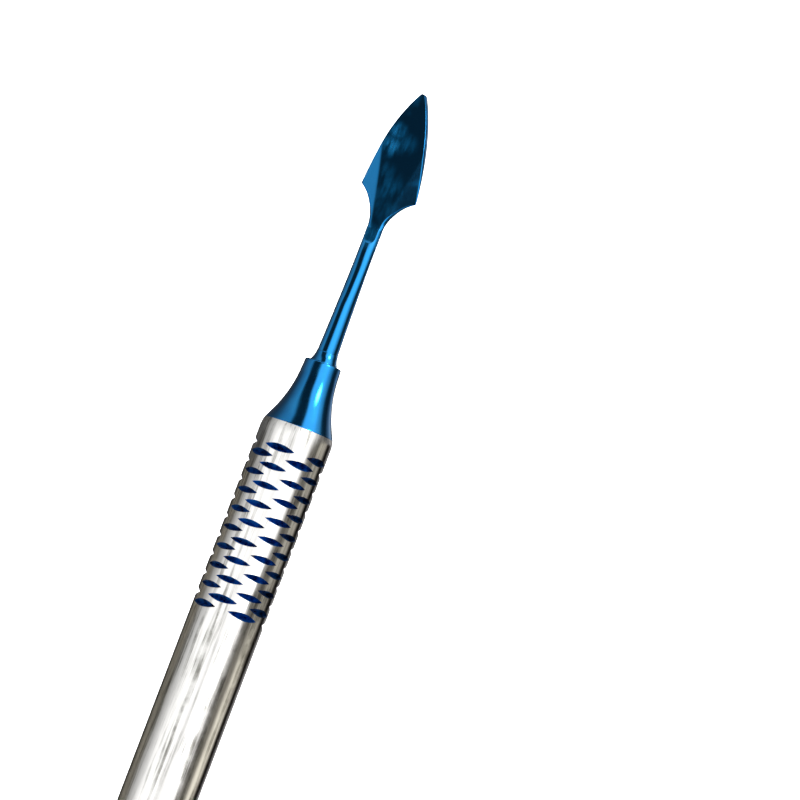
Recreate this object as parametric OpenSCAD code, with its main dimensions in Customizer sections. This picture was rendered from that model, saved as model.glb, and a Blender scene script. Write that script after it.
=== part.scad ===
// Double-ended sculpting spatula: a leaf blade at the front, an angled flat paddle at the rear.
// Millimetres. The tool lies along X with its leaf blade towards +X and the leaf's face up.
// The origin is on the surface that the handle lies on, under the middle of the handle.

/* [Handle] */
// Outside diameter of the handle tube
handle_d = 8; // [7:0.5:10]
// Length of the handle tube between the two cones
handle_l = 100; // [90:1:120]
// Wall thickness of the handle tube
handle_wall = 1; // [0.8:0.1:1.2]

/* [Grip pockets] */
// Distance from the end of the tube to the first row of pockets
pocket_first = 2.8; // [2.4:0.1:4]
// Distance from one pocket to the next along the handle
pocket_pitch = 2.13; // [1.8:0.01:2.6]
// Pockets in each column
pocket_rows = 9; // [4:1:14]
// Columns in each of the two staggered sets
pocket_columns = 5; // [4:1:5]
// Turn from a column of the first set to the next column of the second set
pocket_stagger = 41.5; // [34:0.5:42]
// Turn of the first column from the top of the handle
pocket_turn = 1.5; // [0:0.5:20]
// Depth of a pocket
pocket_depth = 0.34; // [0.2:0.01:0.4]
// Extra depth of the first and last pocket in a column
pocket_end_extra = 0.06; // [0:0.01:0.1]

/* [Cones] */
// Length of a cone outside the tube
cone_l = 7.4; // [7:0.1:9]
// Angle of the flare where it meets the tube, from the axis
flare_angle = 25; // [20:1:26]
// Radius of the concave flare
flare_r = 13.8; // [12:0.1:14.5]
// Length of the spigot inside the tube
spigot_l = 8; // [6:0.5:12]

/* [Shanks] */
// Radius of a shank where it leaves its cone
shank_base_r = 1.165; // [1.1:0.005:1.2]
// Radius of a shank at its thin end
shank_tip_r = 0.84; // [0.75:0.01:0.9]
// Length of the tang inside the cone
tang_l = 11; // [8:0.5:13]

/* [Leaf blade] */
// Distance from the tube to the point of the leaf
leaf_reach = 38; // [36:0.1:42]
// Distance from the tube to the shoulders of the leaf
shoulder_s = 26.8; // [26:0.1:28]
// Half the width across the shoulders
shoulder_w = 3.23; // [2.8:0.01:3.4]
// Thickness along the middle, where the faces run out on the shank
leaf_neck_t = 1; // [0.8:0.05:1.1]
// Angle at which the side facets fall away from each face
facet_angle = 12; // [0:1:12]
// Angle at which the side facets spread from the middle of the neck
facet_spread = 13; // [12:1:20]
// Angle at which each face closes towards the point
face_angle = 0.2; // [0:0.1:1]

/* [Paddle] */
// Length of the straight shank, from the tube to the first bend
paddle_bend_s = 23.75; // [21:0.05:26]
// Angle of the first bend
lean_angle = 20.8; // [15:0.1:22]
// Angle of the elbow between the leaning shank and the paddle
elbow_angle = 71; // [60:1:72]
// Width of the paddle
paddle_w = 1.42; // [1.2:0.02:1.6]
// Thickness of the paddle
paddle_t = 0.5; // [0.4:0.05:0.6]

/* [Hidden] */
$fn = 96;

steel = "silver";
coating = "royalblue";

handle_r = handle_d / 2;
bore_r = handle_r - handle_wall;
fit_gap = 0.02;       // radial gap of a brazed joint
overlap = 0.05;       // how far the pieces of one solid run into each other
step = 0.01;          // step between two such pieces, so that their faces never coincide
curve_steps = 16;     // straight pieces that a turned curve is drawn with

// The tube's outer edge is eased where it meets the cone
edge_drop = 0.15;
edge_run = 1;

// Pocket cutter: a square bar with one edge towards the axis, so it leaves a 90 degree groove
cutter = 1.2;
cutter_l = 4.2;

// Cone
seam_r = handle_r - edge_drop;
neck_angle = 3;
lip = 0.15;
spigot_r = bore_r - fit_gap;
tang_r = 1.23;
tang_bore_r = tang_r + fit_gap;
tang_bore_l = tang_l + 0.4;
flare_dz = flare_r * (sin(flare_angle) - sin(neck_angle));
flare_dr = flare_r * (cos(neck_angle) - cos(flare_angle));
neck_r = 2.08;
skirt_dr = seam_r - neck_r - flare_dr;
skirt_dz = skirt_dr / tan(flare_angle);
top_r = neck_r - (cone_l - skirt_dz - flare_dz) * tan(neck_angle);

// Shank
thin_s = 20.5;
shank_power = 1.7;
fillet_l = 1.2;
fillet_r = 1.55;
fillet_edge = 0.08;   // thickness of the ring at its thin end
fillet_steps = 6;

// Leaf blade
neck_start_s = 22.35; // where the hollow of the neck starts, as wide as the shank
neck_start_w = shank_tip_r;
root_s = 21.6;        // up to here the leaf's root lies inside the shank
root_w = 0.6;
leaf_pull_s = 33.8;   // control point of the curved edge
leaf_pull_w = 2.6;
leaf_tip_r = 0.2;
run_out_s = 20.9;     // where the two faces start to cut into the shank
face_s = 22.1;        // where they have reached the leaf's full thickness
facet_s = 21.7;       // where the side facets start, on the middle of each face
wide = 40;            // more than the leaf's size each way

// The shank is pressed to an oval towards the leaf, between two large tipped cylinders
oval_r = 1.26;
oval_angle = 3.4;
oval_half_t = 0.52;   // half the oval's thickness at the run-out
round_l = 4;          // length above the cone that stays round

// Paddle
lean_r = 8;
lean_l = 5;
ramp_l = 3.2;         // length of the slopes that thin the shank down to the paddle
elbow_r = 1.6;
paddle_l = 6.3;
thin_r = 0.77;

function on_arc(cx, cy, r, a0, a1, n) =
    [for (i = [0 : n]) [cx + r * cos(a0 + (a1 - a0) * i / n), cy + r * sin(a0 + (a1 - a0) * i / n)]];

// Radius of a shank at the distance s from the tube
function shank_r(s) =
    shank_tip_r + (shank_base_r - shank_tip_r) * pow(max(0, thin_s - s) / (thin_s - cone_l), shank_power);

function shank_points(s0, s1, gap) =
    [for (i = [0 : curve_steps]) let (s = s0 + (s1 - s0) * i / curve_steps) [shank_r(s) + gap, s]];

// Turned solid from [radius, distance] points
module turned(points) rotate_extrude() polygon(points);

// Moves a piece drawn along +Z, from the tube's end face at zero, to the front or the rear end
module at_front() translate([handle_l / 2, 0, handle_r]) rotate([0, 90, 0]) children();
module at_rear() rotate([0, 0, 180]) at_front() children();

module pocket(depth)
    translate([handle_r - depth + cutter / sqrt(2), 0, 0])
        rotate([0, 45, 0]) cube([cutter, cutter_l, cutter], center = true);

// Both staggered sets of columns at one end, measured back from the tube's end face
module grip_pockets()
    for (set = [0, 1], column = [0 : pocket_columns - 1], row = [0 : pocket_rows - 1])
        rotate([0, 0, 180 + pocket_turn + column * 360 / pocket_columns + set * pocket_stagger])
            translate([0, 0, -pocket_first - (row + set / 2) * pocket_pitch])
                pocket(pocket_depth + (row == 0 || row == pocket_rows - 1 ? pocket_end_extra : 0));

module handle_tube()
    color(steel) difference() {
        translate([-handle_l / 2, 0, handle_r]) rotate([0, 90, 0])
            turned([[bore_r, 0], [seam_r, 0],
                    [handle_r - edge_drop / 3, edge_run / 2], [handle_r, edge_run],
                    [handle_r, handle_l - edge_run], [handle_r - edge_drop / 3, handle_l - edge_run / 2],
                    [seam_r, handle_l], [bore_r, handle_l]]);
        at_front() grip_pockets();
        at_rear() grip_pockets();
    }

// Turned plug: a spigot in the tube, a bell-shaped flare and a socket for the tang
module cone()
    color(coating) turned(concat(
        [[0, -spigot_l], [spigot_r - 0.3, -spigot_l], [spigot_r, -spigot_l + 0.3], [spigot_r, 0], [seam_r, 0]],
        on_arc(neck_r + flare_r * cos(neck_angle), skirt_dz + flare_r * sin(flare_angle), flare_r,
               180 + flare_angle, 180 + neck_angle, curve_steps),
        [[top_r, cone_l - lip], [top_r - lip, cone_l], [tang_bore_r, cone_l],
         [tang_bore_r, cone_l - tang_bore_l], [0, cone_l - tang_bore_l]]));

// Ring of braze that fills the corner between the shank and the top of the cone
module braze_fillet() {
    top_s = cone_l + fillet_l;
    inner_r = shank_r(top_s) + fit_gap;
    color(coating) turned(concat(
        [[shank_base_r + fit_gap, cone_l], [inner_r, top_s]],
        [for (i = [0 : fillet_steps]) let (u = i / fillet_steps)
            [inner_r + fillet_edge + (fillet_r - inner_r - fillet_edge) * pow(u, 2), top_s - fillet_l * u]]));
}

// Round shank with its tang, up to the distance end_s
module shank(end_s)
    turned(concat(
        [[0, cone_l - tang_l], [tang_r - 0.2, cone_l - tang_l], [tang_r, cone_l - tang_l + 0.2],
         [tang_r, cone_l - 0.1]],
        shank_points(cone_l, end_s, 0),
        [[0, end_s]]));

// Flat shape in the YZ plane, given thickness along X
module plate(t) rotate([90, 0, 90]) translate([0, 0, -t / 2]) linear_extrude(t) children();

// One side of the leaf: the hollow of the neck, the shoulder, then the bowed edge to the point
function leaf_side() =
    let (drop = shoulder_s - neck_start_s,
         rise = shoulder_w - neck_start_w,
         r = (drop * drop + rise * rise) / (2 * rise),
         turn = asin(drop / r))
    concat(
        on_arc(neck_start_w + r, neck_start_s, r, 180, 180 - turn, curve_steps),
        [for (i = [1 : curve_steps]) let (u = i / curve_steps)
            [shoulder_w * pow(1 - u, 2) + 2 * leaf_pull_w * u * (1 - u) + leaf_tip_r / 2 * u * u,
             shoulder_s * pow(1 - u, 2) + 2 * leaf_pull_s * u * (1 - u) + leaf_reach * u * u]]);

module leaf_outline()
    let (side = leaf_side(), n = len(side))
    polygon(concat([[root_w, run_out_s - 1], [root_w, root_s]], side,
                   [for (i = [n - 1 : -1 : 0]) [-side[i][0], side[i][1]]],
                   [[-root_w, root_s], [-root_w, run_out_s - 1]]));

// Block behind a plane through the origin, square to X
module behind() translate([-wide, -wide, -wide]) cube([wide, 2 * wide, 2 * wide]);

module behind_facet()
    translate([leaf_neck_t / 2, 0, facet_s])
        rotate([-facet_spread, 0, 0]) rotate([0, 0, facet_angle]) behind();

// The solid behind one face, which closes towards the point, and its two side facets
module behind_face()
    intersection() {
        translate([leaf_neck_t / 2, 0, face_s]) rotate([0, -face_angle, 0]) behind();
        behind_facet();
        mirror([0, 1, 0]) behind_facet();
    }

module leaf_plate()
    intersection() {
        plate(handle_d) leaf_outline();
        behind_face();
        mirror([1, 0, 0]) behind_face();
    }

// Side view of the shank's end: full round up to the run-out, then two slopes down to the faces
module run_out()
    rotate([90, 0, 0]) translate([0, 0, -handle_r]) linear_extrude(handle_d)
        polygon([for (side = [1, -1])
            let (outline = [[2, -tang_l], [2, run_out_s - 2], [shank_tip_r, run_out_s],
                            [leaf_neck_t / 2, face_s], [leaf_neck_t / 2, leaf_reach]])
            for (i = [0 : 4]) [side * outline[side == 1 ? i : 4 - i][0], outline[side == 1 ? i : 4 - i][1]]]);

// Long cylinder whose top falls from clear of the shank to the oval's half thickness at the run-out
module oval()
    translate([oval_half_t - oval_r, 0, run_out_s]) rotate([0, -oval_angle, 0])
        cylinder(h = 4 * wide, r = oval_r, center = true);

module leaf_blade()
    color(coating) at_front() {
        intersection() {
            shank(face_s);
            run_out();
            union() {
                intersection() {
                    oval();
                    mirror([1, 0, 0]) oval();
                }
                translate([0, 0, -tang_l]) cylinder(h = tang_l + cone_l + round_l, r = handle_r);
            }
        }
        leaf_plate();
    }

// Outline of the elbow and the paddle. It starts inside the leaning shank and points along +Y
module paddle_outline() {
    half = paddle_w / 2;
    turn = 180 - elbow_angle;
    end = [elbow_r * (1 + cos(turn)) + paddle_l * sin(elbow_angle),
           elbow_r * sin(turn) + paddle_l * cos(elbow_angle)];
    polygon(concat(
        [[half, -half], [-half, -half]],
        on_arc(elbow_r, 0, elbow_r + half, 180, turn, curve_steps),
        on_arc(end[0], end[1], half, turn, turn - 180, curve_steps),
        on_arc(elbow_r, 0, elbow_r - half, turn, 180, curve_steps)));
}

// Round shank that leans away after the first bend, thinned towards the elbow by two flats
module paddle_blade()
    color(coating) at_rear() {
        shank(paddle_bend_s + overlap);
        translate([0, lean_r, paddle_bend_s]) rotate([90, 0, -90])
            rotate_extrude(angle = lean_angle) translate([lean_r, 0]) circle(shank_tip_r - step);
        translate([0, lean_r * (1 - cos(lean_angle)), paddle_bend_s + lean_r * sin(lean_angle)])
            rotate([-lean_angle, 0, 0]) {
                intersection() {
                    translate([0, 0, -overlap]) cylinder(h = lean_l + overlap, r1 = shank_tip_r, r2 = thin_r);
                    rotate([90, 0, 0]) translate([0, 0, -2]) linear_extrude(4)
                        polygon([[-1, -1], [1, -1], [1, lean_l - ramp_l], [paddle_t / 2 + step, lean_l],
                                 [-paddle_t / 2 - step, lean_l], [-1, lean_l - ramp_l]]);
                }
                translate([0, 0, lean_l]) mirror([0, 1, 0]) plate(paddle_t) paddle_outline();
            }
    }

handle_tube();
at_front() cone();  // front_cone
at_rear() cone();  // rear_cone
leaf_blade();
paddle_blade();
at_front() braze_fillet();  // front_braze_fillet
at_rear() braze_fillet();  // rear_braze_fillet
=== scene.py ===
"""A double-ended sculpting spatula: coated leaf blade, cones and paddle on a ground steel tube.

Shapes are worked out in millimetres about the tool's own axis and become metres in Shape.piece.
Along the tool, s is the distance outwards from an end face of the handle tube.
"""

import math

import bpy
from mathutils import Matrix, Vector
from mathutils.geometry import delaunay_2d_cdt


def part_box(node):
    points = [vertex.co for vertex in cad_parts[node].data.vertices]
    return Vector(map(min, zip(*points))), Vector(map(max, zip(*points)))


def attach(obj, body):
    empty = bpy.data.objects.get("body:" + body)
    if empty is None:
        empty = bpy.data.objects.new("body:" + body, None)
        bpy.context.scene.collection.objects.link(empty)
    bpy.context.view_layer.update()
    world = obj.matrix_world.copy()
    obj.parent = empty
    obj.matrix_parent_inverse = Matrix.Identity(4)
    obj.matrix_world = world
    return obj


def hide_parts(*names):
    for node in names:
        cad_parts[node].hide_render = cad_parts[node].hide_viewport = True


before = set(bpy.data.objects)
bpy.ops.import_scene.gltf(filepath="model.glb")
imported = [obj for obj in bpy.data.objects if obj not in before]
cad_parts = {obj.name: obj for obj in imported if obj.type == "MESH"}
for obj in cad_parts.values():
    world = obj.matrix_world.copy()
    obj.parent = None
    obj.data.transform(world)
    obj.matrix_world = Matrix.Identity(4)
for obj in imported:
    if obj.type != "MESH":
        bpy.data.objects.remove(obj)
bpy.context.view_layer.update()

MM = 0.001


def size_of(name):
    """Lowest and highest corner of a CAD node, in millimetres."""
    low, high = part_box(name)
    return low / MM, high / MM


# ---------------------------------------------------------------- sizes taken from the frame
TUBE_LOW, TUBE_HIGH = size_of("handle_tube")
TUBE_END = TUBE_HIGH.x
HANDLE_R = (TUBE_HIGH.z - TUBE_LOW.z) / 2
AXIS_Z = (TUBE_HIGH.z + TUBE_LOW.z) / 2
CONE_LOW, CONE_HIGH = size_of("front_cone")
SEAM_R = (CONE_HIGH.z - CONE_LOW.z) / 2
CONE_L = CONE_HIGH.x - TUBE_END
SPIGOT_L = TUBE_END - CONE_LOW.x
LEAF_LOW, LEAF_HIGH = size_of("leaf_blade")
LEAF_REACH = LEAF_HIGH.x - TUBE_END
SHOULDER_W = LEAF_HIGH.y
TANG_S = LEAF_LOW.x - TUBE_END

# ---------------------------------------------------------------- handle
WALL = 1.0
BORE_R = HANDLE_R - WALL
EASED_RUN = 1.0
SEGMENTS = 160
COLUMNS = 5
SECTOR = 2 * math.pi / COLUMNS
STAGGER = math.radians(41.5)
POCKET_TURN = math.radians(1.5)
FIRST_ROW = 2.8
PITCH = 2.13
ROWS = 9
POCKET_DEPTH = 0.34
END_ROW_EXTRA = 0.06
POCKET_LIP = 0.035
POCKET_STEPS = 18
GRIP_FROM = 1.6
GRIP_TO = 22.6

# the seam between two sectors of the grip runs between the pockets at these angles
SEAM_WIDE = math.radians(27)
SEAM_NARROW = math.radians(14.5)
SEAM_PARTS = 4
SEAM_BOW = 0.004
GRIP_ROWS = 60
CLEAR_OF_SEAM = 0.03
CLEAR_OF_RIM = 0.1

# ---------------------------------------------------------------- cones and shanks
FLARE_ANGLE = math.radians(25)
NECK_ANGLE = math.radians(3)
FLARE_R = 13.8
NECK_R = 2.08
CONE_LIP = 0.17
FIT_GAP = 0.02
SPIGOT_R = BORE_R - FIT_GAP
SPIGOT_CHAMFER = 0.3
SOCKET_R = 1.25
SOCKET_CLEAR = 0.4
TANG_R = 1.23
TANG_CHAMFER = 0.2
SHANK_BASE_R = 1.2
SHANK_TIP_R = 0.9
SHANK_THIN_S = 20.5
SHANK_TAPER = 1.7
FILLET_L = 1.2
FILLET_R = 1.55

# ---------------------------------------------------------------- leaf blade
FACE_HALF = 0.5
RUN_OUT_R = 1.6
RUN_OUT_END = 21.8
NECK_S = 22.75
SHOULDER_S = 26.77
PULL_S = 33.8
PULL_W = 2.57
POINT_R = 0.28
POINT_ANGLE = math.radians(30)
FACET_S = 21.7
FACET_SPREAD = math.tan(math.radians(13))
FACET_FALL = math.tan(math.radians(12))
CREASE = 0.3
OVAL_FROM = 14
OVAL_TO = 20.5
OVAL_HALF = 0.7
EDGE_BOW = 0.1
EDGE_BEVEL = 0.04
SQUARING_L = 2.5

# hand grinding: the outline stands off the middle, and one shoulder is further out than the other
LEAN_SHOULDER = -0.04
LEAN_POINT = 0.14
LEAN_RUN = 8
LEAF_SKEW = 0.062

# ---------------------------------------------------------------- paddle
PADDLE_BEND_S = 23.75
LEAN_R = 8.0
LEAN_ANGLE = math.radians(20.8)
LEAN_L = 5.0
ELBOW_R = 1.6
ELBOW_ANGLE = math.radians(71)
PADDLE_L = 6.3
PADDLE_HALF_W = 0.71
PADDLE_HALF_T = 0.25
PADDLE_BOW = 0.03
PADDLE_RUN_OUT_R = 9.0
PADDLE_THINNING = 0.03
PADDLE_END_TURN = math.radians(86)


def mix(a, b, t):
    return a + (b - a) * t


def ease(t):
    """Smooth step from 0 to 1."""
    t = min(1.0, max(0.0, t))
    return t * t * (3 - 2 * t)


def steps(start, end, n):
    return [mix(start, end, i / n) for i in range(n + 1)]


def new_object(name, data):
    obj = bpy.data.objects.new(name, data)
    bpy.context.scene.collection.objects.link(obj)
    return obj


# ---------------------------------------------------------------- meshes
MERGE_DIGITS = 4
HALF_CELL = 0.5 * 10**-MERGE_DIGITS


class Shape:
    """Corners and faces in millimetres about the tool's axis. Corners in one place are joined."""

    def __init__(self):
        self.corners = []
        self.index = {}
        self.faces = []
        self.normals = []
        self.slots = []

    def corner(self, point):
        """The corner's number. Two grids, half a cell apart, keep rounding from parting a place."""
        keys = []
        for shift in (0, HALF_CELL):
            keys.append((shift, *(round(v + shift, MERGE_DIGITS) for v in point)))
        at = next((self.index[key] for key in keys if key in self.index), len(self.corners))
        if at == len(self.corners):
            self.corners.append(Vector(point))
        for key in keys:
            self.index.setdefault(key, at)
        return at

    def face(self, points, normals=None, slot=0):
        """One face. Its normals, where they are given, also say which way it faces."""
        ids = [self.corner(p) for p in points]
        keep = [i for i in range(len(ids)) if ids[i] != ids[i - 1]]
        if len(set(ids[i] for i in keep)) < 3:
            return
        ids = [ids[i] for i in keep]
        normals = [Vector(normals[i]) for i in keep] if normals else [Vector()] * len(ids)
        area = Vector()
        for i, at in enumerate(ids):
            area += self.corners[ids[i - 1]].cross(self.corners[at])
        if area.dot(sum(normals, Vector())) < 0:
            ids.reverse()
            normals.reverse()
        self.faces.append(ids)
        self.normals.append(normals)
        self.slots.append(slot)

    def strip(self, ring, next_ring, normal=None, next_normal=None, slot=0, closed=True):
        """Quads between two rows of points. The normals are rows too."""
        n = len(ring)
        for i in range(n if closed else n - 1):
            j = (i + 1) % n
            normals = [normal[i], normal[j], next_normal[j], next_normal[i]] if normal else None
            self.face([ring[i], ring[j], next_ring[j], next_ring[i]], normals, slot)

    def face_outwards(self):
        """Turn every face round if the closed shape is inside out."""
        volume = 0.0
        for ids in self.faces:
            a, *rest = (self.corners[i] for i in ids)
            volume += sum(a.dot(b.cross(c)) for b, c in zip(rest, rest[1:]))
        if volume < 0:
            self.faces = [ids[::-1] for ids in self.faces]

    def piece(self, name, node, slot_name, materials):
        """The finished object, standing for a CAD node. Its origin is on the tool's axis."""
        loops = [n for face in self.normals for n in face]
        has_normals = any(n.length > 0 for n in loops)
        if not has_normals:
            self.face_outwards()
        mesh = bpy.data.meshes.new(name)
        mesh.from_pydata([p * MM for p in self.corners], [], self.faces)
        for material in materials:
            mesh.materials.append(material)
        mesh.polygons.foreach_set("material_index", self.slots)
        mesh.polygons.foreach_set("use_smooth", [True] * len(self.faces))
        if has_normals:
            mesh.normals_split_custom_set(loops)
        obj = new_object(name, mesh)
        obj.location.z = AXIS_Z * MM
        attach(obj, "root")
        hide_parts(node)


def around(angle):
    """Unit vector square to the axis, at an angle from straight up towards -Y."""
    return Vector((0, -math.sin(angle), math.cos(angle)))


def turned(profile, end):
    """A shape turned about the axis from (s, radius) points beyond that end of the tube."""
    shape = Shape()
    angles = [2 * math.pi * i / SEGMENTS for i in range(SEGMENTS)]
    rings = [[tube_point(end, a, -s, r) for a in angles] for s, r in profile]
    for ring, next_ring in zip(rings, rings[1:]):
        shape.strip(ring, next_ring)
    return shape


def tube_point(end, angle, s, r):
    """A point at an angle from straight up, s inwards from an end of the tube, r from the axis."""
    return Vector((end * (TUBE_END - s), 0, 0)) + around(end * angle) * r


def loft(sections):
    """A closed shape through rows of points, capped at both ends."""
    shape = Shape()
    for ring, next_ring in zip(sections, sections[1:]):
        shape.strip(ring, next_ring)
    shape.face(list(reversed(sections[0])))
    shape.face(sections[-1])
    return shape


# ---------------------------------------------------------------- handle tube with its pockets
STEEL_SLOT, POCKET_SLOT = 0, 1


def pockets():
    """(column angle, distance from the end, depth) of the pockets between two zigzag seams."""
    found = []
    for row in range(ROWS):
        depth = POCKET_DEPTH + (END_ROW_EXTRA if row in (0, ROWS - 1) else 0)
        found.append((STAGGER, FIRST_ROW + (row + 0.5) * PITCH, depth))
        found.append((SECTOR, FIRST_ROW + row * PITCH, depth))
    return found


def groove_rows(depth, side):
    """Rows of (across, height, along, normal) from one side of a pocket's rim to its bottom line.

    Heights are above the bottom of a 90 degree groove, cut square to the axis into a round tube.
    """
    floor = HANDLE_R - depth
    reach = math.sqrt(HANDLE_R**2 - floor**2)
    wall = Vector((-side, 0, 1)).normalized()
    rows = [[], [], [], []]
    for i in range(POCKET_STEPS + 1):
        across = -reach * math.cos(math.pi * i / POCKET_STEPS)
        height = max(0.0, math.sqrt(max(0.0, HANDLE_R**2 - across**2)) - floor)
        lip = min(POCKET_LIP, height / 2)
        out = Vector((0, across, height + floor)).normalized()
        rounded = (0, 1, out), (0.18, 0.07, (out + wall).normalized()), (0.7, -0.7, wall)
        for row, (down, outwards, normal) in zip(rows, rounded):
            row.append((across, height - down * lip, height + outwards * lip, normal))
        rows[3].append((across, 0.0, 0.0, wall))
    return rows


def add_pocket(shape, end, angle, s, depth):
    """The two walls of one pocket, with rounded rims."""
    up = around(end * angle)
    across_way = around(end * (angle + math.pi / 2))
    along_way = Vector((-end, 0, 0))
    floor = HANDLE_R - depth
    for side in (1, -1):
        rings, normals = [], []
        for row in groove_rows(depth, side):
            rings.append(
                [
                    Vector((end * (TUBE_END - s), 0, 0))
                    + up * (floor + height)
                    + across_way * across
                    + along_way * side * along
                    for across, height, along, _ in row
                ]
            )
            normals.append([along_way * n.x + across_way * n.y + up * n.z for *_, n in row])
        for i in range(len(rings) - 1):
            slot = STEEL_SLOT if i == 0 else POCKET_SLOT
            shape.strip(rings[i], rings[i + 1], normals[i], normals[i + 1], slot, closed=False)


def rim_outline(angle, s, depth):
    """A pocket's rim as (angle, s) points, once round."""
    rim = groove_rows(depth, 1)[0]
    turn = [math.asin(across / HANDLE_R) for across, *_ in rim]
    half = [along for _, _, along, _ in rim]
    half[0] = half[-1] = 0.0
    out = [(angle + a, s + w) for a, w in zip(turn, half)]
    back = [(angle + a, s - w) for a, w in zip(turn[-2:0:-1], half[-2:0:-1])]
    return out + back


def zigzag():
    """The seam between two sectors, as (angle, s) points that pass between the pockets."""
    turns = [(SEAM_WIDE, GRIP_FROM)]
    for row in range(ROWS):
        turns.append((SEAM_WIDE, FIRST_ROW + row * PITCH))
        turns.append((SEAM_NARROW, FIRST_ROW + (row + 0.5) * PITCH))
    turns.append((SEAM_WIDE, GRIP_TO))
    seam = []
    for (a0, s0), (a1, s1) in zip(turns, turns[1:]):
        for t in steps(0, 1, SEAM_PARTS)[:-1]:
            seam.append((mix(a0, a1, t) + SEAM_BOW * math.sin(math.pi * t), mix(s0, s1, t)))
    return seam + [turns[-1]]


def rim_gap(angle, s):
    """Distance along the axis from a point on the tube to the nearest rim, under 0 in a pocket."""
    beside = 0.06
    gap = PITCH
    for pocket_angle, pocket_s, depth in pockets():
        height = HANDLE_R * math.cos(angle - pocket_angle) - (HANDLE_R - depth)
        if height > -beside:
            height = max(height, 0)
            gap = min(gap, abs(s - pocket_s) - height - min(POCKET_LIP, height / 2))
    return gap


def sector_triangles():
    """The tube's surface between two seams and round the pockets, as (angle, s) triangles."""
    seam = zigzag()
    per_sector = SEGMENTS // COLUMNS
    turn = [SECTOR * i / per_sector for i in range(per_sector + 1)]
    start = seam[0][0]
    edge = seam[:]
    edge += [(start + t, GRIP_TO) for t in turn[1:-1]]
    edge += [(a + SECTOR, s) for a, s in reversed(seam)]
    edge += [(start + t, GRIP_FROM) for t in turn[-2:0:-1]]
    outlines = [edge] + [rim_outline(*p) for p in pockets()]
    points, lines = [], []
    for outline in outlines:
        first, n = len(points), len(outline)
        points += outline
        lines += [(first + i, first + (i + 1) % n) for i in range(n)]

    def seam_at(s):
        for (a0, s0), (a1, s1) in zip(seam, seam[1:]):
            if s0 <= s <= s1:
                return mix(a0, a1, (s - s0) / (s1 - s0))
        return start

    # the zigzag swings back behind its start, so the rows of inner points begin a quarter early
    for s in steps(GRIP_FROM, GRIP_TO, GRIP_ROWS)[1:-1]:
        for t in turn:
            a = start - SECTOR / 4 + t * 1.3
            inside = seam_at(s) + CLEAR_OF_SEAM < a < seam_at(s) + SECTOR - CLEAR_OF_SEAM
            if inside and rim_gap(a, s) > CLEAR_OF_RIM:
                points.append((a, s))
    flat = [Vector((a * HANDLE_R, s)) for a, s in points]
    found, _, triangles, sources, *_ = delaunay_2d_cdt(flat, lines, [], 0, 1e-7)
    exact = [points[ids[0]] if ids else (v.x / HANDLE_R, v.y) for v, ids in zip(found, sources)]
    kept = []
    for triangle in triangles:
        corners = [exact[i] for i in triangle]
        a, s = (sum(c[k] for c in corners) / 3 for k in (0, 1))
        if seam_at(s) < a < seam_at(s) + SECTOR and rim_gap(a, s) > 0:
            kept.append(corners)
    return kept


def add_tube_wall(shape, end, angles, stations, r, side):
    """Straight wall to the middle of the tube, where both halves share a ring.

    side is 1 for the outside and -1 for the bore.
    """
    step = 2 * math.pi / SEGMENTS
    middle = [step * round(a / step) for a in angles]
    rows = [angles] * (len(stations) - 1) + [middle]
    rings = [[tube_point(end, a, s, r) for a in row] for s, row in zip(stations, rows)]
    normals = [[around(end * a) * side for a in row] for row in rows]
    for i in range(len(rings) - 1):
        shape.strip(rings[i], rings[i + 1], normals[i], normals[i + 1])


def handle_tube(materials):
    shape = Shape()
    angles = [POCKET_TURN + zigzag()[0][0] + 2 * math.pi * i / SEGMENTS for i in range(SEGMENTS)]
    triangles = sector_triangles()
    for end in (1, -1):
        for column in range(COLUMNS):
            turn = POCKET_TURN + column * SECTOR
            for corners in triangles:
                shape.face(
                    [tube_point(end, a + turn, s, HANDLE_R) for a, s in corners],
                    [around(end * (a + turn)) for a, s in corners],
                )
            for angle, s, depth in pockets():
                add_pocket(shape, end, angle + turn, s, depth)

        # outside, from the grip to the end face, then the bore to the middle of the tube
        profile = [(GRIP_FROM, HANDLE_R, 0.0), (EASED_RUN, HANDLE_R, 0.0)]
        for s in steps(EASED_RUN, 0, 8)[1:]:
            drop = (HANDLE_R - SEAM_R) * (1 - s / EASED_RUN) ** 2
            slope = 2 * (HANDLE_R - SEAM_R) * (1 - s / EASED_RUN) / EASED_RUN
            profile.append((s, HANDLE_R - drop, slope))
        rings = [[tube_point(end, a, s, r) for a in angles] for s, r, _ in profile]
        normals = []
        for _, _, slope in profile:
            tip = Vector((end * slope, 0, 0))
            normals.append([(around(end * a) + tip).normalized() for a in angles])
        for i in range(len(rings) - 1):
            shape.strip(rings[i], rings[i + 1], normals[i], normals[i + 1])
        facing = [Vector((end, 0, 0))] * SEGMENTS
        mouth = [tube_point(end, a, 0, BORE_R) for a in angles]
        shape.strip(rings[-1], mouth, facing, facing)
        add_tube_wall(shape, end, angles, steps(0, TUBE_END, 6), BORE_R, -1)
        add_tube_wall(shape, end, angles, steps(GRIP_TO, TUBE_END, 12), HANDLE_R, 1)
    shape.piece("pocketed_handle_tube", "handle_tube", "handle_steel", materials)


# ---------------------------------------------------------------- cones and braze fillets
def shank_r(s):
    thin = max(0.0, SHANK_THIN_S - s) / (SHANK_THIN_S - CONE_L)
    return SHANK_TIP_R + (SHANK_BASE_R - SHANK_TIP_R) * thin**SHANK_TAPER


def curve(a, pull, b, t):
    """A point of the curve from a to b that is pulled towards a third one."""
    return a * (1 - t) ** 2 + pull * 2 * t * (1 - t) + b * t * t


def corner_arc(before, corner, after, size, n=5):
    """Points that round a corner of a profile, from the side of before to the side of after."""
    corner = Vector(corner)
    a = corner + (Vector(before) - corner).normalized() * size
    b = corner + (Vector(after) - corner).normalized() * size
    return [tuple(curve(a, corner, b, t)) for t in steps(0, 1, n)]


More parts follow.
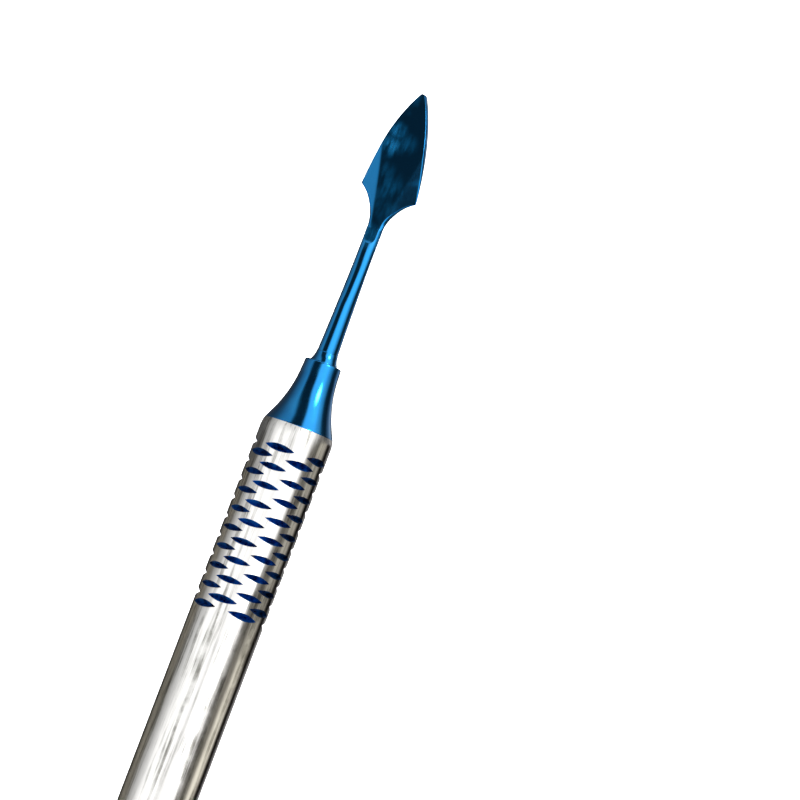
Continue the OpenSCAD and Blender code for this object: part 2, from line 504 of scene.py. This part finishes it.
def cone_profile():
    """(s, radius) from the spigot's inner end, round the flare, to the bottom of the socket."""
    flare_dr = FLARE_R * (math.cos(NECK_ANGLE) - math.cos(FLARE_ANGLE))
    flare_ds = FLARE_R * (math.sin(FLARE_ANGLE) - math.sin(NECK_ANGLE))
    skirt_ds = (SEAM_R - NECK_R - flare_dr) / math.tan(FLARE_ANGLE)
    top_r = NECK_R - (CONE_L - skirt_ds - flare_ds) * math.tan(NECK_ANGLE)
    profile = [(-SPIGOT_L, 0.0), (-SPIGOT_L, SPIGOT_R - SPIGOT_CHAMFER)]
    profile += [(-SPIGOT_L + SPIGOT_CHAMFER, SPIGOT_R), (0.0, SPIGOT_R)]
    profile += [(0.0, SEAM_R - 0.02), (0.02, SEAM_R - 0.01)]
    for t in steps(0.1, 0.9, 4):
        profile.append((skirt_ds * t, SEAM_R - skirt_ds * t * math.tan(FLARE_ANGLE)))
    for angle in steps(FLARE_ANGLE, NECK_ANGLE, 28):
        s = skirt_ds + FLARE_R * (math.sin(FLARE_ANGLE) - math.sin(angle))
        profile.append((s, NECK_R + FLARE_R * (math.cos(NECK_ANGLE) - math.cos(angle))))
    for t in (0.3, 0.6, 0.8):
        profile.append((mix(skirt_ds + flare_ds, CONE_L, t), mix(NECK_R, top_r, t)))
    profile += corner_arc(profile[-1], (CONE_L, top_r), (CONE_L, SOCKET_R), CONE_LIP)
    profile += [(CONE_L, mix(top_r - CONE_LIP, SOCKET_R, t)) for t in (0.1, 0.5, 0.9)]
    profile += corner_arc((CONE_L, top_r), (CONE_L, SOCKET_R), (0, SOCKET_R), 0.03, 2)
    socket_s = TANG_S - SOCKET_CLEAR
    return profile + [(socket_s, SOCKET_R), (socket_s, 0.0)]


def cone(name, end, material):
    turned(cone_profile(), end).piece(f"{name}_ferrule", f"{name}_cone", "blue_coating", [material])


def braze_fillet(name, end, material):
    """A hollow-faced ring between the shank and the flat top of the cone."""
    top = CONE_L + FILLET_L
    inner = shank_r(top) + FIT_GAP
    thin_edge = 0.015
    profile = [(CONE_L, SHANK_BASE_R + FIT_GAP), (top, inner)]
    for t in steps(0, 1, 14):
        profile.append((top - FILLET_L * t, mix(inner + thin_edge, FILLET_R, t**2)))
    profile += [(CONE_L, FILLET_R), (CONE_L, SHANK_BASE_R + FIT_GAP)]
    ring = turned(profile, end)
    ring.piece(f"{name}_braze_ring", f"{name}_braze_fillet", "blue_coating", [material])


# ---------------------------------------------------------------- blades
FACE_STEPS = 22


def mirrored(quarter):
    """A whole section from its upper right quarter."""
    right = quarter + [Vector((p.x, -p.y)) for p in reversed(quarter[:-1])]
    return right + [Vector((-p.x, p.y)) for p in reversed(right[1:-1])]


def section(width, half, flat, bevel, top=None):
    """One cross-section of a forging as (y, z) points: two faces between two bowed sides.

    width is half the full width, half the half thickness at the middle, flat half the faces' width.
    top gives a face's height across it, and a plain face needs none.
    """
    top = top or (lambda y: half)
    edge = top(flat)
    bevel = min(bevel, 0.4 * flat, 0.3 * edge)
    bow = max(width - flat, 1e-4)
    side_r = (edge**2 + bow**2) / (2 * bow)
    side_turn = math.atan2(edge, side_r - bow)

    def side_point(turn):
        return Vector((width - side_r + side_r * math.cos(turn), side_r * math.sin(turn)))

    inset = bevel / side_r
    face_edge = max(flat - bevel, 0.0)
    quarter = [Vector((face_edge * t, top(face_edge * t))) for t in steps(0, 1, FACE_STEPS)]
    a, b = quarter[-1], side_point(side_turn - inset)
    corner = Vector((flat, edge))
    quarter += [curve(a, corner, b, t) for t in (0.25, 0.5, 0.75)]
    quarter += [side_point(turn) for turn in steps(side_turn - inset, 0, 7)]
    return mirrored(quarter)


def oval_section(width, oval, flat, half):
    """An oval cut off above and below by two faces, with the same number of points as a section."""
    quarter = [Vector((flat * t, half)) for t in steps(0, 1, FACE_STEPS)]
    turn = math.asin(min(1.0, half / oval))
    for t in steps(0, 1, 11)[1:]:
        now = turn * (1 - t)
        quarter.append(Vector((width * math.cos(now), oval * math.sin(now))))
    return mirrored(quarter)


def shank_stations():
    """(s, radius) of the tang and the round shank, up to the cone's top."""
    tang = [(TANG_S, TANG_R - TANG_CHAMFER), (TANG_S + TANG_CHAMFER, TANG_R)]
    return tang + [(CONE_L - 0.1, TANG_R), (CONE_L, shank_r(CONE_L))]


def round_section(r):
    return section(r, r, 0.0, 0.0)


def run_out_half(s, end_s, half, radius):
    """Half thickness where a wheel of that radius has ground the round shank down to a flat."""
    if s >= end_s:
        return half
    return half + radius - math.sqrt(radius**2 - min(radius, end_s - s) ** 2)


def leaf_width(s):
    """Half the leaf's width: hollow neck, shoulder, bowed edge and rounded point."""
    point_s = LEAF_REACH - POINT_R * (1 - math.sin(POINT_ANGLE))
    point_w = POINT_R * math.cos(POINT_ANGLE)
    if s <= NECK_S:
        return shank_r(s)
    if s <= SHOULDER_S:
        drop, rise = SHOULDER_S - NECK_S, SHOULDER_W - SHANK_TIP_R
        r = (drop**2 + rise**2) / (2 * rise)
        return SHANK_TIP_R + r - math.sqrt(r**2 - (s - NECK_S) ** 2)
    if s >= point_s:
        along = s - (LEAF_REACH - POINT_R)
        return math.sqrt(max(0.0, POINT_R**2 - along**2))
    low, high = 0.0, 1.0
    for _ in range(40):
        t = (low + high) / 2
        low, high = (t, high) if curve(SHOULDER_S, PULL_S, point_s, t) < s else (low, t)
    return curve(SHOULDER_W, PULL_W, point_w, t)


def leaf_face(s, half):
    """Height of the leaf's face across it: a middle that widens from the neck, and two facets."""
    start = (s - FACET_S) * FACET_SPREAD

    def top(y):
        past = abs(y) - start
        if past <= -CREASE:
            return half
        if past < CREASE:
            return half - FACET_FALL * (past + CREASE) ** 2 / (4 * CREASE)
        return half - FACET_FALL * past

    return top


def leaf_lean(s):
    """How far the hand-ground outline stands off the middle, towards -Y at the shoulders."""
    if s < SHOULDER_S:
        return LEAN_SHOULDER * ease((s - NECK_S) / (SHOULDER_S - NECK_S))
    return mix(LEAN_SHOULDER, LEAN_POINT, ease((s - SHOULDER_S) / LEAN_RUN))


def leaf_section(s):
    if s <= NECK_S:
        # the shank is pressed to an oval, and the two faces then run out on it
        r = shank_r(s)
        oval = mix(r, OVAL_HALF, ease((s - OVAL_FROM) / (OVAL_TO - OVAL_FROM)))
        half = min(oval, run_out_half(s, RUN_OUT_END, FACE_HALF, RUN_OUT_R))
        flat = r * math.sqrt(max(0.0, 1 - (half / oval) ** 2))
        return oval_section(r, oval, flat, half)
    squared = ease((s - NECK_S) / SQUARING_L)
    width = leaf_width(s) + EDGE_BOW * squared
    round_flat = shank_r(s) * math.sqrt(1 - (FACE_HALF / OVAL_HALF) ** 2)
    bow = min(mix(width - round_flat, EDGE_BOW, squared), width / 2)
    ring = section(width, FACE_HALF, width - bow, EDGE_BEVEL, leaf_face(s, FACE_HALF))
    return [Vector((p.x + leaf_lean(s), p.y)) for p in ring]


def leaf_ring(s):
    """The section's points in place, skewed so that one shoulder is further out than the other."""
    skew = LEAF_SKEW * ease((s - NECK_S) / 2)
    return [Vector((TUBE_END + (s + skew * p.x), p.x, p.y)) for p in leaf_section(s)]


def leaf_blade(material):
    stations = steps(CONE_L + 0.3, 20.4, 44)
    stations += steps(20.4, 23.0, 66)[1:] + steps(23.0, SHOULDER_S - 0.03, 40)[1:]
    stations += [SHOULDER_S, SHOULDER_S + 0.04] + steps(SHOULDER_S + 0.15, LEAF_REACH - 0.4, 70)
    tip_turns = steps(POINT_ANGLE, math.pi / 2, 8)
    stations += steps(LEAF_REACH - 0.3, LEAF_REACH - 0.09, 4)
    stations += [LEAF_REACH - POINT_R * (1 - math.sin(turn)) for turn in tip_turns]
    rings = []
    for s, r in shank_stations():
        rings.append([Vector((TUBE_END + s, p.x, p.y)) for p in round_section(r)])
    rings += [leaf_ring(s) for s in stations]
    loft(rings).piece("leaf_forging", "leaf_blade", "blue_blade", [material])


def paddle_path():
    """(s, y, heading, length run) along the paddle's centre line."""
    spots = [(s, 0.0, 0.0, s) for s in steps(CONE_L + 0.3, PADDLE_BEND_S, 30)]

    def bend(radius, angle, n):
        s0, y0, heading, run = spots[-1]
        side = math.copysign(1, angle)
        centre = (s0 - side * radius * math.sin(heading), y0 + side * radius * math.cos(heading))
        for t in steps(0, 1, n)[1:]:
            now = heading + angle * t
            s = centre[0] + side * radius * math.sin(now)
            y = centre[1] - side * radius * math.cos(now)
            spots.append((s, y, now, run + radius * abs(angle) * t))

    def straight(lengths):
        s0, y0, heading, run = spots[-1]
        for length in lengths:
            s, y = s0 + length * math.cos(heading), y0 + length * math.sin(heading)
            spots.append((s, y, heading, run + length))

    bend(LEAN_R, LEAN_ANGLE, 14)
    straight(steps(0, LEAN_L, 50)[1:])
    bend(ELBOW_R, -ELBOW_ANGLE, 24)
    straight(steps(0, PADDLE_L, 20)[1:])
    end_turns = steps(0, PADDLE_END_TURN, 14)[1:]
    straight([PADDLE_HALF_W * math.sin(turn) for turn in end_turns])
    return spots


def paddle_section(run):
    lean_start = PADDLE_BEND_S + LEAN_R * LEAN_ANGLE
    elbow_start = lean_start + LEAN_L
    end_start = elbow_start + ELBOW_R * ELBOW_ANGLE + PADDLE_L
    r = shank_r(run) - PADDLE_THINNING * ease((run - lean_start) / LEAN_L)
    half = min(r, run_out_half(run, elbow_start - 0.2, PADDLE_HALF_T, PADDLE_RUN_OUT_R))
    round_flat = math.sqrt(max(0.0, r * r - half * half))
    squared = ease((run - elbow_start + 1.0) / 2.0)
    width = mix(r, PADDLE_HALF_W, squared)
    past = max(0.0, run - end_start) / PADDLE_HALF_W
    width *= math.sqrt(max(0.0, 1 - past**2))
    bow = min(mix(r - round_flat, PADDLE_BOW, squared), width / 2)
    flat = width - bow if squared > 0 else round_flat
    return section(width, half, flat, EDGE_BEVEL)


def paddle_blade(material):
    rings = []
    for s, r in shank_stations():
        rings.append([Vector((-TUBE_END - s, -p.x, p.y)) for p in round_section(r)])
    for s, y, heading, run in paddle_path():
        ring = []
        for p in paddle_section(run):
            along, across = s - p.x * math.sin(heading), y + p.x * math.cos(heading)
            ring.append(Vector((-TUBE_END - along, -across, p.y)))
        rings.append(ring)
    loft(rings).piece("paddle_forging", "paddle_blade", "blue_blade", [material])


# ---------------------------------------------------------------- node helpers
class Nodes:
    """Short calls for building a node tree. A value is a number, a colour or a node's output."""

    def __init__(self, tree):
        self.tree = tree
        tree.nodes.clear()

    def add(self, kind, inputs=None, **settings):
        node = self.tree.nodes.new(kind)
        for key, value in settings.items():
            setattr(node, key, value)
        for key, value in (inputs or {}).items():
            if isinstance(value, bpy.types.NodeSocket):
                self.tree.links.new(value, node.inputs[key])
            else:
                node.inputs[key].default_value = value
        return node

    def math(self, operation, *values):
        return self.add("ShaderNodeMath", dict(enumerate(values)), operation=operation).outputs[0]

    def remap(self, value, low, high, to_low, to_high, smooth=True):
        inputs = {"Value": value, "From Min": low, "From Max": high}
        inputs.update({"To Min": to_low, "To Max": to_high})
        kind = "SMOOTHSTEP" if smooth else "LINEAR"
        return self.add("ShaderNodeMapRange", inputs, interpolation_type=kind).outputs[0]

    def place(self, scale):
        """The surface point in metres, scaled along the tool and across it."""
        at = self.add("ShaderNodeTexCoord").outputs["Object"]
        return self.add("ShaderNodeMapping", {"Vector": at, "Scale": scale}).outputs[0]

    def noise(self, scale, detail=3.0, rough=0.5, size=1.0, distortion=0.0):
        inputs = {"Vector": self.place(scale), "Scale": size, "Detail": detail, "Roughness": rough}
        inputs["Distortion"] = distortion
        return self.add("ShaderNodeTexNoise", inputs).outputs["Fac"]

    def vector(self, operation, a, b):
        return self.add("ShaderNodeVectorMath", {0: a, 1: b}, operation=operation).outputs["Value"]

    def split(self, vector):
        return self.add("ShaderNodeSeparateXYZ", {0: vector}).outputs

    def bump(self, height, strength, distance):
        inputs = {"Strength": strength, "Distance": distance, "Height": height}
        return self.add("ShaderNodeBump", inputs).outputs[0]

    def principled(self, inputs):
        """The material's surface."""
        surface = self.add("ShaderNodeBsdfPrincipled", inputs)
        self.add("ShaderNodeOutputMaterial", {"Surface": surface.outputs[0]})

    def blend(self, factor, a, b):
        node = self.add("ShaderNodeMix", data_type="RGBA")
        for key, value in ((0, factor), (6, a), (7, b)):
            if isinstance(value, bpy.types.NodeSocket):
                self.tree.links.new(value, node.inputs[key])
            else:
                node.inputs[key].default_value = value
        return node.outputs[2]


def new_material(name):
    material = bpy.data.materials.new(name)
    material.use_nodes = True
    return material, Nodes(material.node_tree)


# ---------------------------------------------------------------- materials
BLUE = (0.004, 0.15, 0.37, 1)
BLUE_PALE = (0.007, 0.17, 0.4, 1)
BLUE_DEEP = (0.003, 0.135, 0.35, 1)
# the pocket coating's colours, painted darker than the coating outside as shade in the recesses
POCKET_SHADED_BLUE = (0.002, 0.025, 0.11, 1)
POCKET_SHADED_PALE = (0.004, 0.075, 0.27, 1)
STEEL = (0.64, 0.635, 0.62, 1)
# dark steel for the painted reflection streaks along the handle, mixed with a little dirt
STEEL_REFLECTION_STREAK_AND_DIRT = (0.17, 0.165, 0.15, 1)
COAT = {"Coat Weight": 0.27, "Coat Roughness": 0.12}
FINE_BUMP = 0.00001
MILLED_BUMP = 0.00002


def coated(name, rough, smudge):
    """Glossy hard coating over polished steel, with faint clouds in its colour and its gloss."""
    material, nodes = new_material(name)
    cloud = nodes.noise((260, 420, 420), detail=3)
    fine = nodes.noise((2600, 5200, 5200), detail=4)
    lay = nodes.noise((24000, 1500, 1500), detail=2)
    gloss = nodes.remap(cloud, 0.4, 0.75, rough, rough + smudge)
    nodes.principled(
        {
            "Base Color": nodes.blend(nodes.remap(cloud, 0.35, 0.7, 0, 1), BLUE_DEEP, BLUE_PALE),
            "Metallic": 1.0,
            "Roughness": nodes.math("ADD", gloss, nodes.remap(fine, 0.3, 0.7, -0.012, 0.02)),
            "Normal": nodes.bump(lay, 0.03, FINE_BUMP),
            **COAT,
        }
    )
    return material


# Finger marks on the leaf's face, rougher and with a painted sheen of paler, less metallic colour:
# distance from the tube, offset across, reach and strength
SMUDGES_AND_SHEEN = (
    (31.7, 1.5, 1.7, 0.5),
    (33.4, 1.3, 1.4, 0.45),
    (32.3, -0.2, 1.6, 0.22),
    (28.9, 1.0, 1.6, 0.16),
    (27.2, 0.1, 2.6, 0.2),
    (25.3, -0.4, 1.8, 0.2),
)


def coated_blade():
    """The same coating on a ground face: wiped smudges and cross grinding where it runs out, which
    make it rougher and also carry a painted sheen of paler, less metallic colour.
    """
    material, nodes = new_material("blue_coating_ground")
    at = nodes.place((1, 1, 1))
    along = nodes.math("DIVIDE", nodes.split(at)[0], MM)
    patches = nodes.noise((210, 330, 330), detail=5, rough=0.62, distortion=0.4)
    smear_and_sheen_noise = nodes.noise((420, 1500, 1500), detail=4, rough=0.6)
    wipe_and_sheen = nodes.remap(smear_and_sheen_noise, 0.35, 0.65, 0.35, 1)
    # the smudge mask: real roughness, and painted sheen where it pales the colour and lowers the
    # metallic
    smudge_and_sheen = nodes.math("MULTIPLY", nodes.remap(patches, 0.52, 0.74, 0, 0.3), wipe_and_sheen)

    def add_smudge_and_sheen(amount, streaks):
        return nodes.math("MAXIMUM", smudge_and_sheen, nodes.math("MULTIPLY", amount, streaks))

    neck = nodes.math("ABSOLUTE", nodes.math("SUBTRACT", along, TUBE_END + RUN_OUT_END))
    smudge_and_sheen = add_smudge_and_sheen(nodes.remap(neck, 0.4, 1.8, 0.3, 0), nodes.remap(smear_and_sheen_noise, 0.3, 0.6, 0.4, 1))
    ridges = nodes.remap(smear_and_sheen_noise, 0.36, 0.64, 0.05, 1.2)
    for s, y, reach, amount in SMUDGES_AND_SHEEN:
        middle = ((TUBE_END + s) * MM, y * MM, FACE_HALF * MM)
        off = nodes.vector("DISTANCE", at, middle)
        smudge_and_sheen = add_smudge_and_sheen(nodes.remap(off, 0.1 * reach * MM, reach * MM, amount, 0), ridges)
    on_leaf = nodes.remap(along, TUBE_END + OVAL_TO - 1, TUBE_END + OVAL_TO, 0, 1)
    smudge_and_sheen = nodes.math("MULTIPLY", smudge_and_sheen, on_leaf)
    lay = nodes.noise((14000, 900, 900), detail=3)
    # the smudges roughen the face; their paler, less metallic colour is a painted sheen
    nodes.principled(
        {
            "Base Color": nodes.blend(smudge_and_sheen, BLUE, BLUE_PALE),
            "Metallic": nodes.remap(smudge_and_sheen, 0, 1, 1, 0.6, smooth=False),
            "Roughness": nodes.remap(smudge_and_sheen, 0, 1, 0.1, 0.45, smooth=False),
            "Normal": nodes.bump(lay, 0.06, FINE_BUMP),
            **COAT,
        }
    )
    return material


def coated_pocket():
    """Unpolished coating in the milled pockets, with fine cutter marks, its colour painted far
    darker than the coating outside as shade in the recesses.
    """
    material, nodes = new_material("blue_coating_milled")
    cloud = nodes.noise((1500, 1500, 1500), detail=3)
    pale = nodes.remap(cloud, 0.35, 0.65, 0, 1)
    marks = nodes.noise((9000, 2500, 2500), detail=3)
    nodes.principled(
        {
            "Base Color": nodes.blend(pale, POCKET_SHADED_BLUE, POCKET_SHADED_PALE),
            "Metallic": 1.0,
            "Roughness": nodes.remap(cloud, 0.3, 0.7, 0.26, 0.38),
            "Normal": nodes.bump(marks, 0.15, MILLED_BUMP),
        }
    )
    return material


def ground_steel():
    """Satin steel: fine marks round the tube, long faint streaks in its gloss, and long dark
    streaks in its colour that are painted reflections, stronger where a little handling dirt lies.
    """
    material, nodes = new_material("ground_steel")
    streaks = nodes.noise((60, 1500, 1500), detail=4, rough=0.65)
    dirt = nodes.noise((320, 520, 520), detail=5, rough=0.65)
    lay = nodes.noise((16000, 700, 700), detail=3)
    dirty = nodes.remap(dirt, 0.3, 0.65, 0.25, 1)
    # painted reflections: long dark streaks along the tube, their strength scaled by the handling
    # dirt
    reflection_streaks_and_dirt = nodes.math("MULTIPLY", nodes.remap(streaks, 0.44, 0.64, 0, 1), dirty)
    gloss = nodes.remap(streaks, 0.35, 0.7, 0.4, 0.5)
    tangent = nodes.add("ShaderNodeTangent", direction_type="RADIAL", axis="X")
    nodes.principled(
        {
            "Base Color": nodes.blend(reflection_streaks_and_dirt, STEEL, STEEL_REFLECTION_STREAK_AND_DIRT),
            "Metallic": 1.0,
            "Roughness": nodes.math("ADD", gloss, nodes.remap(lay, 0.3, 0.7, -0.03, 0.03)),
            "Anisotropic": 0.92,
            "Anisotropic Rotation": 0.25,
            "Tangent": tangent.outputs[0],
            "Normal": nodes.bump(lay, 0.12, FINE_BUMP),
        }
    )
    return material


# ---------------------------------------------------------------- studio
# Light round the tool's axis, as (degrees from straight up towards -Y, brightness)
LEAF_SIDE = (
    (-180, 0.12),
    (-125, 0.1),
    (-104, 0.15),
    (-87, 0.32),
    (-69, 0.7),
    (-55, 0.95),
    (-43, 1.2),
    (-34, 0.13),
    (-26, 0.07),
    (8, 0.07),
    (19, 2.7),
    (50, 3.1),
    (66, 2.8),
    (80, 1.7),
    (93, 1.1),
    (105, 0.1),
    (130, 0.05),
    (148, 0.4),
    (162, 1.0),
    (172, 0.5),
    (180, 0.12),
)
PADDLE_SIDE = (
    (-180, 0.05),
    (-106, 0.1),
    (-90, 0.9),
    (-72, 0.9),
    (-56, 1.8),
    (-40, 5.5),
    (6, 6.5),
    (18, 0.8),
    (30, 2.4),
    (56, 1.8),
    (74, 0.05),
    (110, 0.1),
    (128, 0.5),
    (150, 0.05),
    (180, 0.05),
)
STUDIO_TOP = 7.0
CONE_LIGHT_TURN = math.radians(16)
SHANK_LIGHT_TURN = math.radians(11)
HANDLE_LIGHT_TURN = math.radians(13)
HOT_SPOT_ANGLE = math.radians(55)
HOT_SPOT_TILT = math.radians(27)
HOT_SPOT_SIZE = math.radians(10)
HOT_SPOT_LIGHT = 34.0
END_LIGHT = 2.0

# how far directions point along the tool, from -1 to 1, where one light gives way to the next
CONE_X = (0.4, 0.8)
SHANK_X_START = (0.02, 0.08)
SHANK_X_END = (0.12, 0.18)
HANDLE_X = (0.0, 0.06)
LEAF_SIDE_X = (-0.26, -0.1)
PADDLE_END_X = (-0.95, -0.6)
END_LIGHT_X = (0.9, 0.99)


def light_bands(nodes, turn, bands):
    """Brightness for an angle round the tool, from a list of bands."""
    share = nodes.remap(turn, -math.pi, math.pi, 0, 1, smooth=False)
    ramp = nodes.add("ShaderNodeValToRGB", {0: share})
    stops = ramp.color_ramp.elements
    while len(stops) < len(bands):
        stops.new(0.5)
    for stop, (degrees, light) in zip(stops, bands):
        stop.position = (degrees + 180) / 360
        stop.color = (light / STUDIO_TOP,) * 3 + (1,)
    return nodes.math("MULTIPLY", ramp.outputs[0], STUDIO_TOP)


def studio_world():
    """Bands of light round the tool, a light ahead of it and a hot lamp. The camera sees white."""
    world = bpy.data.worlds.new("studio")
    world.use_nodes = True
    bpy.context.scene.world = world
    nodes = Nodes(world.node_tree)
    way = nodes.add("ShaderNodeTexCoord").outputs["Generated"]
    x, y, z = nodes.split(way)
    turn = nodes.math("ARCTAN2", nodes.math("MULTIPLY", y, -1.0), z)

    # the leaf side's bands turn a little where the cone, the shank and the handle reflect them
    left = nodes.remap(turn, math.radians(-60), math.radians(-20), 0, 1)
    on_cone = nodes.math("MULTIPLY", nodes.remap(x, *CONE_X, 0, CONE_LIGHT_TURN), left)
    top = nodes.remap(turn, math.radians(-20), 0, 0, 1)
    behind = nodes.math("MULTIPLY", nodes.remap(x, *HANDLE_X, HANDLE_LIGHT_TURN, 0), top)
    leaf_turn = nodes.math("SUBTRACT", turn, nodes.math("ADD", on_cone, behind))
    leaf_turn = nodes.math("ADD", leaf_turn, nodes.remap(x, *SHANK_X_START, 0, SHANK_LIGHT_TURN))
    leaf_turn = nodes.math("SUBTRACT", leaf_turn, nodes.remap(x, *SHANK_X_END, 0, SHANK_LIGHT_TURN))

    leaf_share = nodes.remap(x, *LEAF_SIDE_X, 0, 1)
    paddle_share = nodes.math("SUBTRACT", 1.0, leaf_share)
    leaf_light = light_bands(nodes, leaf_turn, LEAF_SIDE)
    paddle_light = light_bands(nodes, turn, PADDLE_SIDE)
    paddle_light = nodes.math("MULTIPLY", paddle_light, nodes.remap(x, *PADDLE_END_X, 0.15, 1))
    light = nodes.math("MULTIPLY", leaf_light, leaf_share)
    light = nodes.math("ADD", light, nodes.math("MULTIPLY", paddle_light, paddle_share))

    hot = Vector((math.sin(HOT_SPOT_TILT), 0, 0)) + around(HOT_SPOT_ANGLE) * math.cos(HOT_SPOT_TILT)
    facing = nodes.vector("DOT_PRODUCT", way, hot)
    spot = nodes.remap(facing, math.cos(HOT_SPOT_SIZE), 1, 0, HOT_SPOT_LIGHT)
    ahead = nodes.remap(x, *END_LIGHT_X, 0, END_LIGHT)
    light = nodes.math("ADD", nodes.math("ADD", light, spot), ahead)

    seen = nodes.add("ShaderNodeLightPath").outputs["Is Camera Ray"]
    unseen = nodes.math("MULTIPLY", light, nodes.math("SUBTRACT", 1.0, seen))
    strength = nodes.math("ADD", unseen, seen)
    background = nodes.add("ShaderNodeBackground", {"Color": (1, 1, 1, 1), "Strength": strength})
    nodes.add("ShaderNodeOutputWorld", {0: background.outputs[0]})


SHEET_HALF = 1.5
SHEET_DROP = 0.00002


def floor():
    """A white sheet that the tool lies on."""
    material, nodes = new_material("white_sheet")
    grain = nodes.noise((900, 900, 900), detail=2)
    nodes.principled(
        {
            "Base Color": nodes.blend(grain, (0.93, 0.93, 0.93, 1), (0.96, 0.96, 0.96, 1)),
            "Roughness": 0.8,
            "Emission Color": (1, 1, 1, 1),
            "Emission Strength": 1.0,
        }
    )
    mesh = bpy.data.meshes.new("sheet")
    ways = ((-1, -1), (1, -1), (1, 1), (-1, 1))
    mesh.from_pydata([(x * SHEET_HALF, y * SHEET_HALF, 0) for x, y in ways], [], [(0, 1, 2, 3)])
    mesh.materials.append(material)
    sheet = new_object("sheet", mesh)
    sheet.location.z = -SHEET_DROP
    sheet.visible_glossy = False


FLAG_SIDES = 48
STRIPE_UP = 1.1
STRIPE_CORE = 0.2
STRIPE_HALF = 0.75
STRIPE_AT_GRIP = 0.45


def flag(name, y, reach, glow):
    """A long dark rod beside the handle, seen only in reflections.

    A warm stripe of light runs along it and fades towards the grip.
    """
    material, nodes = new_material(name)
    x, _, z = nodes.split(nodes.place((1, 1, 1)))
    fade_from, fade_to = (TUBE_END - GRIP_TO - 3) * MM, (TUBE_END - GRIP_TO + 5) * MM
    faded = nodes.remap(x, fade_from, fade_to, glow, STRIPE_AT_GRIP * glow)
    off = nodes.math("ABSOLUTE", nodes.math("SUBTRACT", z, (AXIS_Z + STRIPE_UP) * MM))
    nodes.principled(
        {
            "Base Color": (0.12, 0.11, 0.09, 1),
            "Metallic": 1.0,
            "Roughness": 0.3,
            "Emission Color": (1.0, 0.95, 0.82, 1),
            "Emission Strength": nodes.remap(off, STRIPE_CORE * MM, STRIPE_HALF * MM, faded, 0),
        }
    )
    n = FLAG_SIDES
    rim = [Vector((0, y, AXIS_Z)) + around(2 * math.pi * i / n) * HANDLE_R for i in range(n)]
    corners = [(Vector((end, 0, 0)) + p) * MM for end in (-TUBE_END, reach) for p in rim]
    faces = [(i, (i + 1) % n, n + (i + 1) % n, n + i) for i in range(n)]
    faces += [tuple(range(n)), tuple(range(n, 2 * n))]
    mesh = bpy.data.meshes.new(name)
    mesh.from_pydata(corners, [], faces)
    mesh.materials.append(material)
    rod = new_object(name, mesh)
    rod.visible_camera = False
    rod.visible_diffuse = False
    rod.visible_shadow = False


# ---------------------------------------------------------------- camera
CAMERA_LEAN = math.radians(19)
CAMERA_BACK = math.radians(4)
CAMERA_ROLL = math.radians(20.8)
CAMERA_FAR = 800.0
FRAME_WIDTH = 84.8
FRAME_RIGHT = 10.733
FRAME_UP = 3.058


def camera():
    """Looks down on the leaf's end of the tool, which runs from the lower left to the top."""
    away = Vector(
        (
            -math.sin(CAMERA_BACK),
            -math.sin(CAMERA_LEAN) * math.cos(CAMERA_BACK),
            math.cos(CAMERA_LEAN) * math.cos(CAMERA_BACK),
        )
    )
    along = (Vector((1, 0, 0)) - away * away.x).normalized()
    across = along.cross(away)
    up = along * math.cos(CAMERA_ROLL) - across * math.sin(CAMERA_ROLL)
    right = along * math.sin(CAMERA_ROLL) + across * math.cos(CAMERA_ROLL)
    centre = Vector((TUBE_END, 0, AXIS_Z)) + right * FRAME_RIGHT + up * FRAME_UP
    data = bpy.data.cameras.new("camera")
    data.sensor_width = 36.0
    data.lens = data.sensor_width * CAMERA_FAR / FRAME_WIDTH
    data.clip_start = 0.01
    obj = new_object("camera", data)
    turn = Matrix((right, up, away)).transposed().to_4x4()
    obj.matrix_world = Matrix.Translation((centre + away * CAMERA_FAR) * MM) @ turn
    bpy.context.scene.camera = obj


# ---------------------------------------------------------------- build
bpy.context.scene.view_settings.view_transform = "Standard"
camera()
studio_world()
floor()
flag("right_flag", -2 * HANDLE_R - 0.05, TUBE_END - 0.5, 1.3)
flag("left_flag", 2 * HANDLE_R + 0.8, TUBE_END - 5, 0.1)

polished_blue = coated("blue_coating_polished", 0.13, 0.05)
handle_tube([ground_steel(), coated_pocket()])
for end_name, end_side in (("front", 1), ("rear", -1)):
    cone(end_name, end_side, polished_blue)
    braze_fillet(end_name, end_side, polished_blue)
ground_blue = coated_blade()
leaf_blade(ground_blue)
paddle_blade(ground_blue)
